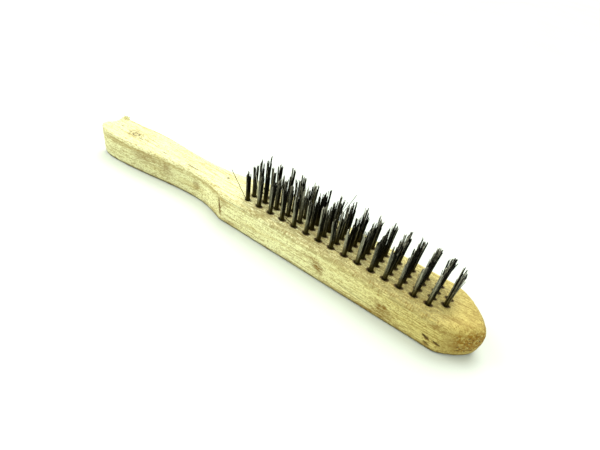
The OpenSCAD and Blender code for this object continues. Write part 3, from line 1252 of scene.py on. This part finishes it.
    def build_rank(self, rank: int, template: bpy.types.Mesh) -> bpy.types.Object:
        """Make every wire of one rank.

        Args:
            rank: Number of the rank, from 1.
            template: The straight wire.

        Returns:
            The piece.
        """
        bm = bmesh.new()
        bm.verts.layers.float.new("wire_tone_and_painted_light")
        for index, mouth in enumerate(self.plan.places(rank)):
            row = index + 1 if rank == self.plan.ranks else index
            rng = random.Random(self.seed * 1000 + rank * 10 + row)
            full = self.free - self.short_by(rank, row) - rng.uniform(0.0, 0.8)
            lean = self.lean(rank, row) + Vector((rng.uniform(-0.5, 0.5), rng.uniform(-0.5, 0.5), 0))
            if self.short_by(rank, row) > 3:
                lean += Vector((-1.2, 0, 0))
            clumps = self.clumps(rng)
            peak = Vector((rng.uniform(-0.7, 0.7), rng.uniform(-0.7, 0.7), 0))
            for first, second in self.packing(rng):
                legs = []
                for offset in (first, second):
                    clump = clumps[self.sector(offset, len(clumps))]
                    own = full - clump.shorter - rng.expovariate(1 / self.uneven)
                    own -= self.taper * (offset - peak).length
                    away = self.loose if rng.random() < self.sprung else 0.1
                    stray = clump.lean + self.cling * (clump.middle - offset)
                    stray += Vector((rng.gauss(0, away), rng.gauss(0, away), 0))
                    own = min(max(own, self.shortest), self.free - 0.2)
                    legs.append(self.leg(mouth, offset, lean, own, stray))
                bottom = Vector((mouth.x + first.x, mouth.y, self.fold_z + 1.2 - first.y))
                path = legs[0] + [bottom] + list(reversed(legs[1]))
                self.bend(bm, template, path, self.tone(legs, mouth, row, rng))
        bmesh.ops.scale(bm, vec=(MM,) * 3, verts=bm.verts)
        bmesh.ops.recalc_face_normals(bm, faces=bm.faces)
        for f in bm.faces:
            f.smooth = len(f.verts) == 4
        mesh = bpy.data.meshes.new(f"wires_rank_{rank:02d}")
        bm.to_mesh(mesh)
        bm.free()
        piece = bpy.data.objects.new(f"wires_rank_{rank:02d}", mesh)
        bpy.context.scene.collection.objects.link(piece)
        return piece

    def build(self) -> list[bpy.types.Object]:
        """Make and dress every rank.

        Returns:
            The pieces, from the handle to the nose.
        """
        template = self.template()
        pieces = []
        for rank in range(1, self.plan.ranks + 1):
            piece = self.build_rank(rank, template)
            piece.data.materials.append(self.material)
            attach(piece, BODY)
            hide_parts(f"tuft_rank_{rank:02d}")
            pieces.append(piece)
        bpy.data.meshes.remove(template)
        return pieces


@dataclass
class SteelParts:
    """The CAD nodes that stay: the anchors and the three stray wires."""

    plan: TuftField
    wire: bpy.types.Material
    anchor: bpy.types.Material

    def dress(self) -> list[bpy.types.Object]:
        """Give each node its material and return them."""
        names = [f"anchor_rank_{rank:02d}" for rank in range(1, self.plan.ranks + 1)]
        for name in names:
            self.assign(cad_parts[name], self.anchor)
        self.assign(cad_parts["stray_wires"], self.wire)
        return [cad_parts[name] for name in [*names, "stray_wires"]]

    def assign(self, node: bpy.types.Object, material: bpy.types.Material) -> None:
        """Put a material in every slot of a CAD node.

        Args:
            node: The node's object.
            material: Its material.
        """
        for slot in node.material_slots:
            slot.material = material


@dataclass
class Studio:
    """Floor, lights and camera.

    Attributes:
        sky: Strength of the even light from all round.
        sky_hue: Its colour.
        ceiling_strength: Strength of the wide light overhead, W/m2.
        ceiling_angle: How wide that light is, degrees.
        ceiling_from: Direction that it comes from, a little behind the brush.
        side_power: Power of the lamp on the left, W.
        side_size: Length of its side, m.
        side_place: Where it stands, m.
        side_target: Point that it faces, m.
        floor_half: Half the width of the paper, m.
        lens: Focal length of the camera, mm.
        place: Where the camera stands, m.
        right: Direction of the picture's right.
        up: Direction of the picture's top.
    """

    sky: float = 0.96
    sky_hue: str = "FAFFF6"
    ceiling_strength: float = 2.1
    ceiling_angle: float = 46.0
    ceiling_from: Triple = (-0.14, 0.52, 0.84)
    side_power: float = 1.4
    side_size: float = 0.3
    side_place: Triple = (-0.42, -0.16, 0.42)
    side_target: Triple = (-0.08, 0.0, 0.0)
    floor_half: float = 6.0
    lens: float = 28.4
    place: Triple = (0.0715, -0.2194, 0.188)
    right: Triple = (0.8133, 0.5450, 0.2037)
    up: Triple = (-0.4660, 0.4005, 0.7889)

    def floor(self) -> bpy.types.Object:
        """Make the sweep of paper that the brush lies on, and return it."""
        bm = bmesh.new()
        bmesh.ops.create_grid(bm, x_segments=8, y_segments=8, size=self.floor_half)
        mesh = bpy.data.meshes.new("paper_sweep")
        bm.to_mesh(mesh)
        bm.free()
        piece = bpy.data.objects.new("paper_sweep", mesh)
        bpy.context.scene.collection.objects.link(piece)
        piece.data.materials.append(PaperSweep().build())
        return piece

    def lamp(self, name: str, kind: str, place: Vector, target: Vector, power: float) -> bpy.types.Light:
        """Add one lamp.

        Args:
            name: Name of the lamp.
            kind: Blender's name for its kind.
            place: Where it stands, m.
            target: Point that it faces, m.
            power: Power in W, or W/m2 for a sun.

        Returns:
            The lamp's settings.
        """
        light = bpy.data.lights.new(name, kind)
        light.energy = power
        lamp = bpy.data.objects.new(name, light)
        lamp.location = place
        lamp.rotation_mode = "QUATERNION"
        lamp.rotation_quaternion = (target - place).to_track_quat("-Z", "Y")
        bpy.context.scene.collection.objects.link(lamp)
        return light

    def light(self) -> None:
        """Add the even light, the wide light overhead and the lamp on the left."""
        scene = bpy.context.scene
        scene.world = bpy.data.worlds.new("soft_room")
        scene.world.use_nodes = True
        tree = scene.world.node_tree
        tree.nodes.clear()
        glow = add_node(
            tree, "ShaderNodeBackground", {"in:Color": linear(self.sky_hue), "in:Strength": self.sky}, {}
        )
        add_node(tree, "ShaderNodeOutputWorld", {}, {"Surface": glow.outputs[0]})
        side_place, side_target = Vector(self.side_place), Vector(self.side_target)
        side = self.lamp("left_softbox", "AREA", side_place, side_target, self.side_power)
        side.size = self.side_size
        overhead, origin = Vector(self.ceiling_from), Vector((0.0, 0.0, 0.0))
        ceiling = self.lamp("ceiling_light", "SUN", overhead, origin, self.ceiling_strength)
        ceiling.angle = math.radians(self.ceiling_angle)
        scene.view_settings.view_transform = "Standard"

    def camera(self) -> None:
        """Add the camera and make it the scene's."""
        data = bpy.data.cameras.new("camera")
        data.lens, data.sensor_width = self.lens, 36.0
        data.clip_start, data.clip_end = 0.01, 50.0
        camera = bpy.data.objects.new("camera", data)
        right, up = Vector(self.right).normalized(), Vector(self.up).normalized()
        back = right.cross(up).normalized()
        up = back.cross(right)
        turn = Matrix((right, up, back)).transposed()
        camera.matrix_world = Matrix.Translation(self.place) @ turn.to_4x4()
        bpy.context.scene.collection.objects.link(camera)
        bpy.context.scene.camera = camera


def main() -> None:
    """Build the brush piece by piece, then the studio round it."""
    logging.basicConfig(level=logging.INFO, format="%(name)s: %(message)s")
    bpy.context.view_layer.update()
    plan = TuftField()
    block = BrushBlock(plan)
    piece = block.build()
    block.dress(piece)
    LOG.info("%s: %d faces", piece.name, len(piece.data.polygons))
    wire = OiledSteelWire().build(plan.top)
    for piece in WireTufts(plan, wire).build():
        LOG.info("%s: %d faces", piece.name, len(piece.data.polygons))
    for node in SteelParts(plan, wire, CroppedSteel().build()).dress():
        LOG.info("%s: CAD node kept", node.name)
    studio = Studio()
    studio.floor()
    studio.light()
    studio.camera()


if __name__ == "__main__":
    main()
